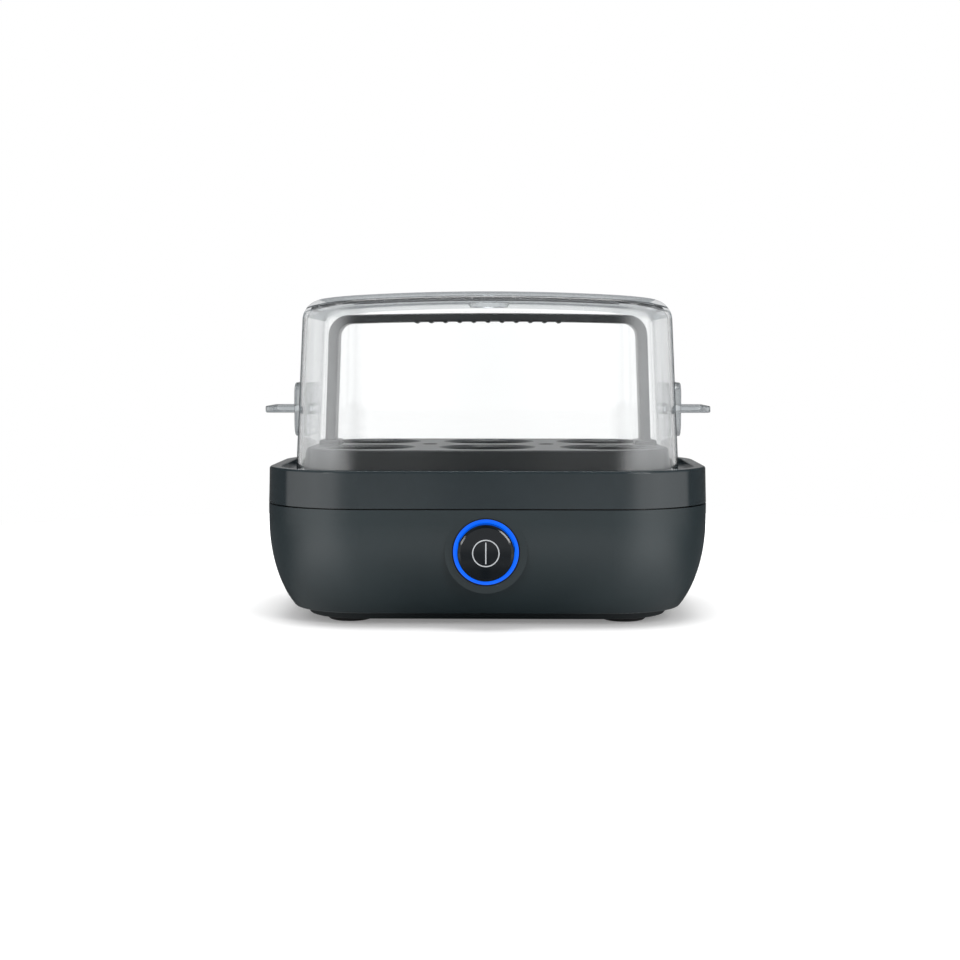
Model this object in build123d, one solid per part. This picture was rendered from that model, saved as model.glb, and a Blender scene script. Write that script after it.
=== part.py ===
from build123d import *
import os
from math import cos, pi, radians, sin, sqrt, tan

# An electric egg cooker for six eggs, in millimetres.
# The origin is on the table, midway between the feet. +X points to the right of someone who faces the button,
# +Y to the back and +Z up.

# Clearances
slide_gap = 0.3  # between pieces that move past each other
fit_gap = 0.15  # between pieces that are put together once
hole_gap = 0.1  # round a screw's shank
beyond = 1.0  # how far a cutting form runs past what it cuts
small_round = 1.0  # corners of the small moulded parts inside

# Lower housing
plan_radius = 42.0
housing_bottom = 5.2
housing_wall = 2.4
floor_thickness = 2.4
bottom_edge_round = 1.2
belly_start = 43.0  # the wall is upright above this height
belly_reach = 24.7  # level half axis of the ellipse that the wall follows below it
belly_drop = 45.0  # upright half axis of that ellipse
hatch_half_width = 60.0  # opening in the housing's floor, under the base plate
hatch_half_depth = 28.0
hatch_radius = 10.0

# Trim collar
seam_height = 49.6
seam_gap = 0.6
rim_height = 65.6
rim_width = 4.9
rim_lean = 0.4  # how far the collar leans in from seam to rim
rim_outer_round = 1.0
rim_inner_round = 0.6
ledge_depth = 2.0  # the lid's seat lies this far below the rim
ledge_thickness = 3.6
rim_gap_side = 7.0  # from the lid's lower edge to the rim, at the sides
rim_gap_front = 1.3  # and at the front and back
collar_wall = 3.0
tongue_depth = 5.0
tongue_thickness = 1.6

# Egg tray
deck_radius = 27.0
deck_height = 73.6
deck_thickness = 2.0
deck_edge_round = 0.9
skirt_draft = 8.5
skirt_wall = 2.0
egg_hole_radius = 20.0
egg_pitch = 52.0
egg_hole_bevel = 1.0
hole_to_side = 5.7  # deck left beside the outer egg holes
hole_to_front = 8.2  # deck left in front of the egg holes and behind them
handle_to_side = 4.8  # deck left beside the handle's legs
steam_hole_radius = 3.5

# Carrying handle
handle_half_width = 70.8  # outer face of the legs at the top of the arch
handle_flare = 2.1  # how much further out the legs stand at the deck
handle_to_lid = 5.9  # free height between the handle and the lid's roof
handle_crown = 1.1
bar_thickness = 3.6
leg_thickness = 4.7
handle_breadth = 12.0
arch_outer_radius = 9.3
arch_inner_radius = 5.8
handle_edge_round = 0.8
grip_bump_count = 11
grip_bump_pitch = 6.3
grip_bump_height = 0.6
grip_bump_radius = 1.5
grip_bump_inset = 1.0
pad_length = 10.0
pad_breadth = 17.0
pad_thickness = 2.2
pad_round = 0.8

# Lid
lid_wall = 1.8
tray_to_lid = 1.3
lid_height = 139.5
lid_draft = 2.75
lid_crown_radius = 950.0
lid_edge_radius = 6.5
vent_radius = 6.3
vent_setback = 38.0  # the vent lies this far behind the middle
vent_sink = 1.6  # the vent lies this deep in a dimple of the roof
vent_lip = 2.2  # height of the vent's edge
vent_slope = 2.4  # breadth of the dimple's slope
grip_reach = 15.2  # how far the side grips stand out from the lid's lower edge
grip_height = 89.6
grip_thickness = 2.9
grip_half_breadth = 18.0
grip_corner_radius = 4.0
grip_edge_round = 0.6
grip_pad_reach = 1.9  # how far their pads stand out
grip_pad_height = 23.4
grip_pad_breadth = 40.0
grip_pad_radius = 6.0
grip_root_half_breadth = 14.0
grip_root_thickness = 2.4
grip_hook_depth = 1.7
grip_hook_height = 4.4
grip_hook_half_breadth = 10.0

# Heating dish and what heats it
dish_flange_gap = 0.7  # between the dish's flange and the lid's inner wall
dish_flange_width = 5.6
dish_depth = 13.6
dish_wall = 1.0
dish_bottom_radius = 8.0
seal_thickness = 0.8
spreader_length = 116.0
spreader_breadth = 54.0
spreader_radius = 20.0
spreader_thickness = 1.5
element_radius = 3.3
element_leg = 16.0
element_bend_x = 50.0
element_end_x = -62.0
element_bend_radius = 14.5
terminal_radius = 1.3
terminal_length = 10.0
bush_radius = 4.6
bush_length = 6.0
clamp_width = 12.0
clamp_length = 50.0
clamp_thickness = 2.0
thermostat_radius = 8.5
thermostat_height = 12.0
thermostat_flange = 1.2
thermostat_flange_thickness = 1.5
thermostat_x = 26.0
thermostat_blade = 6.3
thermostat_blade_thickness = 0.8
fuse_radius = 2.2
fuse_length = 14.0
fuse_x = -24.0

# Push button and its light
boss_to_seam = 0.2
boss_wall = 1.6  # round the light ring's flange
boss_face_thickness = 3.5
ring_outer_radius = 13.85
ring_wall = 1.9
ring_flange = 1.65
ring_flange_thickness = 2.0
button_gap = 0.3
button_proud = 4.5
button_length = 11.8
button_wall = 1.8
button_dish_depth = 0.5
button_edge_round = 0.8
button_rim = 0.4  # flat edge round the cap's dished face
button_travel = 2.0
stem_spare = 1.0  # left between the stem and the switch when the button is pressed
stem_radius = 2.6
symbol_radius = 5.85
symbol_line = 0.86
symbol_bar = 8.85
symbol_depth = 0.5
symbol_proud = 0.05
plunger_radius = 1.8
plunger_reach = 5.0  # from the stem's end into the switch
switch_side = 12.0
switch_depth = 6.8
spring_wire = 0.5
spring_radius = 3.7
spring_turns = 6

# Control board
board_setback = 18.9  # from the housing's front to the board's front face
board_half_width = 32.0
board_to_floor = 4.9
board_to_dish = 3.0
board_thickness = 1.6
board_corner_radius = 2.0
board_post_x = 27.5
board_post_margin_low = 4.5  # from the board's lower edge to the lower posts
board_post_margin_high = 5.5
board_post_radius = 3.2
lamp_side = 2.0
lamp_height = 1.7
lamp_count = 4
buzzer_radius = 5.5
buzzer_height = 6.0
buzzer_x = 19.0
relay_size = (19.0, 10.0, 15.0)
relay_x = -14.5

# Base plate, feet, cord gland and terminals
plinth_inset = 4.6  # from the housing's lower edge to the base plate's
plinth_slope = 1.8
plinth_bottom = 1.9
plinth_round = 1.5
plate_thickness = 2.0
plate_rim = 2.6
foot_radius = 9.8
foot_inset_side = 36.0  # from the housing's side to the feet
foot_inset_front = 31.9
foot_round = 1.4
screw_radius = 1.5
screw_head_radius = 2.9
screw_head_height = 1.5
screw_boss_radius = 4.0
screw_boss_height = 9.0
screw_length = 11.0
screw_x = 36.0
screw_inset_front = 27.4
air_slot_length = 26.0
air_slot_width = 2.6
air_slot_pitch = 6.0
air_slot_rows = 5
air_slot_x = 24.0
gland_height = 25.0
gland_boss_radius = 11.0
gland_barrel_radius = 6.0
gland_flange_radius = 8.6
gland_flange_thickness = 2.4
gland_face_thickness = 3.0
gland_bore_radius = 3.6
gland_back_thickness = 2.0
block_size = (30.0, 13.0, 12.0)
block_inset = 26.9  # from the housing's back to the block
wire_radius = 1.1
wire_bend = 6.0
wire_spacing = 10.0

# Sizes that follow from the ones above
deck_half_width = max(
    handle_half_width + handle_flare + handle_to_side, egg_pitch + egg_hole_radius + hole_to_side
)
deck_half_depth = egg_pitch / 2 + egg_hole_radius + hole_to_front
ledge_height = rim_height - ledge_depth
skirt_height = deck_height - ledge_height
skirt_flare = skirt_height * tan(radians(skirt_draft))
skirt_half_width = deck_half_width + skirt_flare
skirt_half_depth = deck_half_depth + skirt_flare
skirt_radius = deck_radius + skirt_flare
lid_growth = tray_to_lid + lid_wall
lid_half_width = skirt_half_width + lid_growth
lid_half_depth = skirt_half_depth + lid_growth
lid_radius = skirt_radius + lid_growth
rim_total = rim_width + rim_lean
half_width = lid_half_width + rim_gap_side + rim_total
half_depth = lid_half_depth + rim_gap_front + rim_total
handle_top = lid_height - lid_wall - handle_to_lid
grip_end_x = lid_half_width + grip_reach
grip_pad_x = lid_half_width + grip_pad_reach
flange_half_width = skirt_half_width + tray_to_lid - dish_flange_gap
flange_half_depth = skirt_half_depth + tray_to_lid - dish_flange_gap
flange_radius = skirt_radius + tray_to_lid - dish_flange_gap
dish_half_width = flange_half_width - dish_flange_width
dish_half_depth = flange_half_depth - dish_flange_width
dish_radius = flange_radius - dish_flange_width
dish_floor_height = ledge_height - dish_depth
dish_under = dish_floor_height - dish_wall
spreader_under = dish_under - spreader_thickness
element_height = spreader_under - element_radius
housing_floor = housing_bottom + floor_thickness
boss_radius = ring_outer_radius + ring_flange + boss_wall
button_height = seam_height - boss_to_seam - boss_radius
ring_bore = ring_outer_radius - ring_wall
button_radius = ring_bore - button_gap
button_face = half_depth + button_proud
board_face = half_depth - board_setback
board_low = housing_floor + board_to_floor
board_high = dish_under - board_to_dish
board_posts = (board_low + board_post_margin_low, board_high - board_post_margin_high)
switch_face = board_face + switch_depth
stem_end = switch_face + button_travel + stem_spare
foot_x = half_width - foot_inset_side
foot_y = half_depth - foot_inset_front
screw_y = half_depth - screw_inset_front
block_y = half_depth - block_inset
plate_under = housing_bottom - plate_thickness
terminal_end_x = element_end_x - terminal_length

UP = (Align.CENTER, Align.CENTER, Align.MIN)
DOWN = (Align.CENTER, Align.CENTER, Align.MAX)
LEFT_AND_RIGHT = (-1, 1)
FRONT_AND_BACK = (-1, 1)


def belly_inset(height):
    """How far the housing's wall lies inside its widest outline at a height."""
    if height >= belly_start:
        return 0.0
    return belly_reach * (1 - sqrt(1 - ((belly_start - height) / belly_drop) ** 2))


def round_plan(section, half_x, half_y, radius):
    """A body with a rounded-rectangular plan and one side profile all round.

    The section lies in the XZ plane and runs from x = 0, over the centre of a plan corner, out to x = radius.
    """
    core_x = half_x - radius
    core_y = half_y - radius
    box = section.bounding_box()
    body = Pos(0, 0, box.min.Z) * Box(2 * core_x, 2 * core_y, box.size.Z, align=UP)
    corner = revolve(section, Axis.Z, 90)
    for quarter, (side_x, side_y) in enumerate(((1, 1), (-1, 1), (-1, -1), (1, -1))):
        body += Pos(side_x * core_x, side_y * core_y, 0) * Rot(0, 0, 90 * quarter) * corner
    side = extrude(Pos(0, core_y, 0) * section, 2 * core_y, dir=(0, -1, 0))
    end = extrude(Pos(0, core_x, 0) * section, 2 * core_x, dir=(0, -1, 0))
    for turn in (0, 180):
        body += Rot(0, 0, turn) * Pos(core_x, 0, 0) * side
        body += Rot(0, 0, 90 + turn) * Pos(core_y, 0, 0) * end
    return body.clean()


def slab(half_x, half_y, radius, low, high):
    """An upright block with a rounded-rectangular plan."""
    return Pos(0, 0, low) * extrude(RectangleRounded(2 * half_x, 2 * half_y, radius), high - low)


def belly_section(inset, low, high, rounding=0.0):
    """The side profile of the housing, moved in by a wall, between two heights."""
    reach = plan_radius - inset
    outline = Pos(reach - belly_reach, belly_start) * Ellipse(belly_reach, belly_drop)
    outline += Pos(0, low) * Rectangle(reach - belly_reach, high - low, align=Align.MIN)
    outline += Pos(0, belly_start) * Rectangle(reach, high - belly_start, align=Align.MIN)
    outline &= Pos(0, low) * Rectangle(reach, high - low, align=Align.MIN)
    if rounding:
        lowest = outline.vertices().group_by(Axis.Y)[0].sort_by(Axis.X)[-1]
        outline = fillet(lowest, rounding)
    return Plane.XZ * outline


def rod_y(radius, front, back):
    """A cylinder along Y, from front to back."""
    return Pos(0, front, 0) * Rot(-90, 0, 0) * Cylinder(radius, back - front, align=UP)


def across(shape):
    """The shape on the left and its mirror image on the right."""
    return shape + mirror(shape, Plane.YZ)


def corners(x, y):
    """The four places at plus and minus x and y."""
    return [(side_x * x, side_y * y) for side_y in FRONT_AND_BACK for side_x in LEFT_AND_RIGHT]


def edges_at(shape, height):
    """The edges that lie level at a height."""
    level = 0.01
    return shape.edges().filter_by(
        lambda edge: abs(edge.bounding_box().min.Z - height) < level and abs(edge.bounding_box().max.Z - height) < level
    )


def inner_edges(shape, height, half_x):
    """The level edges at a height whose outline is no wider than half_x."""
    return edges_at(shape, height).filter_by(lambda edge: abs(edge.center().X) < half_x)


# Base


def lower_housing():
    """The bowl-shaped casing, with the button's boss in front and the gland's boss behind."""
    outer = round_plan(
        belly_section(0, housing_bottom, seam_height, bottom_edge_round), half_width, half_depth, plan_radius
    )
    hollow = round_plan(
        belly_section(housing_wall, housing_floor, seam_height + seam_gap),
        half_width - housing_wall,
        half_depth - housing_wall,
        plan_radius - housing_wall,
    )
    front_boss = Pos(0, 0, button_height) * rod_y(boss_radius, -half_depth, -board_face)
    rear_boss = Pos(0, 0, gland_height) * rod_y(gland_boss_radius, board_face, half_depth)
    posts = Part() + [
        Pos(side * board_post_x, 0, height) * rod_y(board_post_radius, -half_depth, -board_face)
        for side in LEFT_AND_RIGHT
        for height in board_posts
    ]
    body = outer + front_boss + rear_boss - hollow
    body += posts & outer
    body -= slab(hatch_half_width, hatch_half_depth, hatch_radius, housing_bottom - beyond, housing_floor + beyond)
    for x, y in corners(screw_x, screw_y):
        boss = Cylinder(screw_boss_radius, screw_boss_height, align=UP)
        body += Pos(x, y, housing_floor) * boss
        body -= Pos(x, y, housing_bottom) * Cylinder(screw_radius + hole_gap, screw_length, align=UP)
    for side in LEFT_AND_RIGHT:
        for height in board_posts:
            body -= Pos(side * board_post_x, 0, height) * rod_y(
                screw_radius + hole_gap, -board_face - screw_length, -board_face
            )
    body -= Pos(0, 0, button_height) * rod_y(ring_outer_radius + fit_gap, -half_depth - beyond, 0)
    body -= Pos(0, 0, button_height) * rod_y(
        ring_outer_radius + ring_flange + slide_gap, boss_face_thickness - half_depth, 0
    )
    body -= Pos(0, 0, gland_height) * rod_y(gland_barrel_radius + hole_gap, 0, half_depth + beyond)
    body -= Pos(0, 0, gland_height) * rod_y(gland_flange_radius + slide_gap, 0, half_depth - gland_face_thickness)
    return body


def trim_collar():
    """The glossy band above the seam, with the rim, the lid's seat and the dish's rebate."""
    low = seam_height + seam_gap
    outline = Polygon(
        (0, low), (plan_radius, low), (plan_radius - rim_lean, rim_height), (0, rim_height), align=None
    )
    rim_corner = outline.vertices().group_by(Axis.Y)[-1].sort_by(Axis.X)[-1]
    outline = fillet(rim_corner, rim_outer_round)
    body = round_plan(Plane.XZ * outline, half_width, half_depth, plan_radius)
    body -= slab(
        half_width - rim_total, half_depth - rim_total, plan_radius - rim_total, ledge_height, rim_height + beyond
    )
    body = fillet(inner_edges(body, rim_height, half_width - rim_total + fit_gap), rim_inner_round)
    ledge_under = ledge_height - ledge_thickness
    body -= slab(
        half_width - collar_wall, half_depth - collar_wall, plan_radius - collar_wall, low - beyond, ledge_under
    )
    rebate = dish_wall + seal_thickness
    body -= slab(
        flange_half_width + fit_gap,
        flange_half_depth + fit_gap,
        flange_radius + fit_gap,
        ledge_height - rebate,
        rim_height,
    )
    opening = dish_wall + fit_gap
    body -= slab(
        dish_half_width + opening, dish_half_depth + opening, dish_radius + opening, ledge_under - beyond, rim_height
    )
    tongue_out = housing_wall + fit_gap
    tongue_in = tongue_out + tongue_thickness
    tongue = slab(
        half_width - tongue_out,
        half_depth - tongue_out,
        plan_radius - tongue_out,
        seam_height - tongue_depth,
        low + collar_wall,
    )
    tongue -= slab(
        half_width - tongue_in, half_depth - tongue_in, plan_radius - tongue_in, housing_bottom, ledge_under
    )
    tongue -= Pos(0, 0, button_height) * rod_y(boss_radius + slide_gap, -half_depth, 0)
    return body + tongue


def base_plate():
    """The plinth that closes the housing from below, with air slots and screw holes."""
    bottom_radius = plan_radius - belly_inset(housing_bottom)
    radius = bottom_radius - plinth_inset
    inset = belly_inset(housing_bottom) + plinth_inset
    outline = Polygon(
        (0, plinth_bottom), (radius - plinth_slope, plinth_bottom), (radius, housing_bottom), (0, housing_bottom),
        align=None,
    )
    corner = outline.vertices().group_by(Axis.Y)[0].sort_by(Axis.X)[-1]
    outline = fillet(corner, plinth_round)
    half_x = half_width - inset
    half_y = half_depth - inset
    body = round_plan(Plane.XZ * outline, half_x, half_y, radius)
    rim = plinth_slope + plate_rim
    body -= slab(half_x - rim, half_y - rim, radius - rim, plinth_bottom - beyond, plate_under)
    for x, y in corners(screw_x, screw_y):
        body -= Pos(x, y, plinth_bottom) * Cylinder(screw_radius + hole_gap, housing_bottom, align=UP)
    slot = extrude(SlotOverall(air_slot_length, air_slot_width), 2 * housing_bottom)
    for side in LEFT_AND_RIGHT:
        for row in range(air_slot_rows):
            y = (row - (air_slot_rows - 1) / 2) * air_slot_pitch
            body -= Pos(side * air_slot_x, y, 0) * slot
    return body


def foot():
    """One rubber foot, under the base plate."""
    pad = Cylinder(foot_radius, plate_under, align=UP)
    return fillet(pad.edges().group_by(Axis.Z)[0], foot_round)


def screw(length):
    """A pan-head screw along +Z, with the underside of its head at z = 0."""
    head = Cylinder(screw_head_radius, screw_head_height, align=DOWN)
    head = fillet(head.edges().group_by(Axis.Z)[0], screw_head_height / 3)
    slot = Box(2 * screw_head_radius, screw_radius / 2, screw_head_height / 2, align=UP)
    return head - Pos(0, 0, -screw_head_height) * slot + Cylinder(screw_radius, length, align=UP)


def base_screws():
    """Four screws that hold the base plate to the housing."""
    return Part() + [Pos(x, y, plate_under) * screw(screw_length) for x, y in corners(screw_x, screw_y)]


def cord_gland():
    """The bushing in the rear wall that the mains lead goes through."""
    back = half_depth - gland_face_thickness
    body = rod_y(gland_barrel_radius, back - gland_back_thickness, half_depth + gland_flange_thickness)
    flange = rod_y(gland_flange_radius, half_depth, half_depth + gland_flange_thickness)
    body += fillet(flange.edges().group_by(Axis.Y)[-1], gland_flange_thickness / 3)
    body += rod_y(gland_flange_radius, back - gland_back_thickness, back)
    body -= rod_y(gland_bore_radius, 0, half_depth + 2 * gland_flange_thickness)
    return Pos(0, 0, gland_height) * body


def terminal_block():
    """The block on the housing's floor where the mains lead ends."""
    body = Pos(0, block_y, housing_floor) * Box(*block_size, align=UP)
    body = fillet(body.edges().filter_by(Axis.Z), small_round)
    for step in (-1, 0, 1):
        well = Cylinder(screw_head_radius, block_size[2] / 3, align=DOWN)
        body -= Pos(step * wire_spacing, block_y, housing_floor + block_size[2]) * well
    return body


# Dish and heater


def heating_dish():
    """The pressed steel dish that holds the water."""
    outer = slab(
        dish_half_width + dish_wall,
        dish_half_depth + dish_wall,
        dish_radius + dish_wall,
        dish_under,
        ledge_height,
    )
    outer = fillet(edges_at(outer, dish_under), dish_bottom_radius + dish_wall)
    outer += slab(flange_half_width, flange_half_depth, flange_radius, ledge_height - dish_wall, ledge_height)
    inner = slab(dish_half_width, dish_half_depth, dish_radius, dish_floor_height, ledge_height + dish_wall)
    inner = fillet(edges_at(inner, dish_floor_height), dish_bottom_radius)
    return outer - inner


def dish_seal():
    """The silicone ring between the dish's flange and the collar."""
    high = ledge_height - dish_wall
    low = high - seal_thickness
    inside = dish_wall + fit_gap
    ring = slab(flange_half_width, flange_half_depth, flange_radius, low, high)
    return ring - slab(
        dish_half_width + inside, dish_half_depth + inside, dish_radius + inside, low - beyond, high + beyond
    )


def heat_spreader():
    """The aluminium plate under the dish."""
    body = slab(spreader_length / 2, spreader_breadth / 2, spreader_radius, spreader_under, dish_under)
    for side in FRONT_AND_BACK:
        body -= Pos(0, side * clamp_screw_y(), 0) * Cylinder(screw_radius + hole_gap, 2 * dish_under)
    return body


def clamp_screw_y():
    """How far from the middle the clamp's screws stand, just outside the element."""
    return element_leg + element_radius + screw_radius + slide_gap


def heating_element():
    """A tubular element bent to a U under the spreader."""
    path = FilletPolyline(
        (element_end_x, -element_leg, element_height),
        (element_bend_x, -element_leg, element_height),
        (element_bend_x, element_leg, element_height),
        (element_end_x, element_leg, element_height),
        radius=element_bend_radius,
    )
    return sweep(Plane(path @ 0, z_dir=path % 0) * Circle(element_radius), path)


def rod_x(radius, left, right):
    """A cylinder along X."""
    return Pos(left, 0, 0) * Rot(0, 90, 0) * Cylinder(radius, right - left, align=UP)


def element_terminals():
    """Two ceramic bushes with connecting pins at the element's ends."""
    bush = rod_x(bush_radius, element_end_x - bush_length, element_end_x)
    bush = fillet(bush.edges().group_by(Axis.X)[0], bush_radius / 4)
    pin = rod_x(terminal_radius, terminal_end_x, element_end_x)
    return Part() + [Pos(0, side * element_leg, element_height) * (bush + pin) for side in FRONT_AND_BACK]


def element_clamp():
    """A steel bar that presses the element against the spreader."""
    top = spreader_under - 2 * element_radius
    body = Pos(0, 0, top) * Box(clamp_width, clamp_length, clamp_thickness, align=DOWN)
    for side in FRONT_AND_BACK:
        body -= Pos(0, side * clamp_screw_y(), 0) * Cylinder(screw_radius + hole_gap, 2 * dish_under)
    return fillet(body.edges().filter_by(Axis.Z).group_by(Axis.Y)[0], clamp_width / 4)


def clamp_screws():
    """Two screws that pull the clamp to the spreader."""
    low = spreader_under - 2 * element_radius - clamp_thickness
    length = dish_under - low - slide_gap
    return Part() + [Pos(0, side * clamp_screw_y(), low) * screw(length) for side in FRONT_AND_BACK]


def thermostat():
    """The disc thermostat that feels when the dish has boiled dry."""
    flange = Cylinder(thermostat_radius + thermostat_flange, thermostat_flange_thickness, align=DOWN)
    body = flange + Cylinder(thermostat_radius, thermostat_height, align=DOWN)
    blade = Box(thermostat_blade_thickness, thermostat_blade, thermostat_blade, align=DOWN)
    for side in LEFT_AND_RIGHT:
        body += Pos(side * thermostat_radius / 2, 0, -thermostat_height) * blade
    return Pos(thermostat_x, 0, spreader_under) * body


def thermal_fuse():
    """The fuse that opens if the dish overheats."""
    body = rod_x(fuse_radius, -fuse_length / 2, fuse_length / 2)
    lead = rod_x(fuse_radius / 4, -fuse_length, fuse_length)
    return Pos(fuse_x, 0, spreader_under - fuse_radius) * (body + lead)


def lead_wires():
    """The two leads from the terminal block to the element's pins."""
    well_floor = housing_floor + block_size[2] * 2 / 3
    turn_height = element_height - 2 * wire_bend
    wires = Part()
    for side in FRONT_AND_BACK:
        start_x = -wire_spacing if side < 0 else 0
        lane = terminal_end_x - wire_bend * 2 - (wire_bend / 2 if side < 0 else 0)
        path = FilletPolyline(
            (start_x, block_y, well_floor),
            (start_x, block_y, turn_height + side * wire_radius * 2),
            (lane, block_y - wire_bend, turn_height + side * wire_radius * 2),
            (lane, side * element_leg, element_height),
            (terminal_end_x, side * element_leg, element_height),
            radius=wire_bend * 0.8,
        )
        wires += sweep(Plane(path @ 0, z_dir=path % 0) * Circle(wire_radius), path)
    return wires


# Button, light and board


def light_ring():
    """The translucent ring that shines round the button."""
    front = -half_depth
    flange_front = boss_face_thickness - half_depth
    body = rod_y(ring_outer_radius, front, -board_face - lamp_height - slide_gap)
    body += rod_y(ring_outer_radius + ring_flange, flange_front, flange_front + ring_flange_thickness)
    body -= rod_y(ring_bore, front - beyond, 0)
    return Pos(0, 0, button_height) * body


def button_dish(proud=0.0):
    """The ball that dishes the cap's face, or one that ends in front of that face."""
    rim = button_radius - button_edge_round - button_rim
    ball = (rim**2 + button_dish_depth**2) / (2 * button_dish_depth)
    return Pos(0, button_dish_depth - button_face - ball, 0) * Sphere(ball - proud)


def power_button():
    """The round cap, slightly dished, with the stem that works the switch."""
    cap = rod_y(button_radius, -button_face, button_length - button_face)
    cap = fillet(cap.edges().group_by(Axis.Y)[0], button_edge_round)
    cap -= button_dish()
    cap -= rod_y(button_radius - button_wall, button_wall + button_dish_depth - button_face, 0)
    cap += rod_y(stem_radius, button_wall + button_dish_depth / 2 - button_face, -stem_end)
    cap = Pos(0, 0, button_height) * cap
    return cap - symbol(hole_gap / 2)


def symbol(spare=0.0):
    """The ring and bar inlaid in the cap: the common sign for on and off."""
    depth = button_dish_depth + symbol_depth + spare
    back = depth - button_face
    ring = rod_y(symbol_radius + spare, -button_face, back)
    ring -= rod_y(symbol_radius - symbol_line - spare, -button_face - beyond, back + beyond)
    bar = Pos(0, back - depth / 2, 0) * Box(symbol_line + 2 * spare, depth, symbol_bar + 2 * spare)
    return Pos(0, 0, button_height) * (ring + bar - button_dish(symbol_proud))


def switch_plunger():
    """The switch's own plunger, against the stem."""
    return Pos(0, 0, button_height) * rod_y(plunger_radius, -stem_end, plunger_reach - stem_end)


def push_switch():
    """The switch on the board."""
    body = Pos(0, -board_face, button_height) * Box(
        switch_side, switch_depth, switch_side, align=(Align.CENTER, Align.MAX, Align.CENTER)
    )
    body = fillet(body.edges().filter_by(Axis.Y), small_round)
    depth = plunger_reach - stem_end + button_travel + slide_gap
    return body - Pos(0, 0, button_height) * rod_y(plunger_radius + slide_gap, -switch_face - beyond, depth)


def button_spring():
    """The coil spring that pushes the cap back out."""
    back = -switch_face - spring_wire
    front = button_wall + button_dish_depth - button_face + spring_wire
    length = back - front
    path = Helix(pitch=length / spring_turns, height=length, radius=spring_radius)
    coil = sweep(Plane(path @ 0, z_dir=path % 0) * Circle(spring_wire / 2), path)
    return Pos(0, front, button_height) * Rot(-90, 0, 0) * coil


def control_board():
    """The board behind the button."""
    height = board_high - board_low
    body = Pos(0, -board_face, board_low) * Box(
        2 * board_half_width, board_thickness, height, align=(Align.CENTER, Align.MIN, Align.MIN)
    )
    body = fillet(body.edges().filter_by(Axis.Y), board_corner_radius)
    for side in LEFT_AND_RIGHT:
        for post in board_posts:
            body -= Pos(side * board_post_x, 0, post) * rod_y(screw_radius + hole_gap, -board_face - beyond, 0)
    return body


def board_screws():
    """Four screws that hold the board to its posts."""
    flat = Rot(90, 0, 0) * screw(screw_length - slide_gap)
    return Part() + [
        Pos(side * board_post_x, board_thickness - board_face, post) * flat
        for side in LEFT_AND_RIGHT
        for post in board_posts
    ]


def ring_lamps():
    """The lamps on the board behind the light ring."""
    lamp = Box(lamp_side, lamp_height, lamp_side, align=(Align.CENTER, Align.MAX, Align.CENTER))
    circle = ring_outer_radius - ring_wall / 2
    lamps = Part()
    for step in range(lamp_count):
        angle = pi / lamp_count + 2 * pi * step / lamp_count
        lamps += Pos(circle * cos(angle), -board_face, button_height + circle * sin(angle)) * lamp
    return lamps


def buzzer():
    """The buzzer on the board's back."""
    back = board_thickness - board_face
    body = rod_y(buzzer_radius, back, back + buzzer_height)
    body -= rod_y(buzzer_radius / 5, back + buzzer_height / 2, back + 2 * buzzer_height)
    return Pos(buzzer_x, 0, button_height) * body


def power_relay():
    """The relay on the board's back that switches the element."""
    body = Pos(relay_x, board_thickness - board_face, button_height) * Box(
        *relay_size, align=(Align.CENTER, Align.MIN, Align.CENTER)
    )
    return fillet(body.edges().filter_by(Axis.Y), small_round)


# Tray and handle


def egg_tray():
    """The tray with six egg holes that rests on the dish's flange."""
    plan = RectangleRounded(2 * deck_half_width, 2 * deck_half_depth, deck_radius)
    body = Pos(0, 0, deck_height) * extrude(plan, -skirt_height, taper=-skirt_draft)
    body = fillet(edges_at(body, deck_height), deck_edge_round)
    under = deck_height - deck_thickness
    inset = skirt_wall - deck_thickness * tan(radians(skirt_draft))
    hollow = RectangleRounded(
        2 * (deck_half_width - inset), 2 * (deck_half_depth - inset), deck_radius - inset
    )
    body -= Pos(0, 0, under) * extrude(hollow, -skirt_height, taper=-skirt_draft)
    cut = Cylinder(egg_hole_radius, 4 * deck_thickness)
    bevel = Cone(
        egg_hole_radius, egg_hole_radius + egg_hole_bevel, egg_hole_bevel, align=DOWN
    )
    for y in (-egg_pitch / 2, egg_pitch / 2):
        for x in (-egg_pitch, 0, egg_pitch):
            body -= Pos(x, y, deck_height) * (cut + bevel)
    for x in (-egg_pitch / 2, egg_pitch / 2):
        body -= Pos(x, 0, deck_height) * Cylinder(steam_hole_radius, 4 * deck_thickness)
    for side in LEFT_AND_RIGHT:
        body -= Pos(side * handle_screw_x(), 0, deck_height) * Cylinder(
            screw_radius + hole_gap, 4 * deck_thickness
        )
    return body


def handle_screw_x():
    """The middle of a leg where it meets the deck."""
    return handle_half_width + handle_flare - leg_thickness / 2


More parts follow.
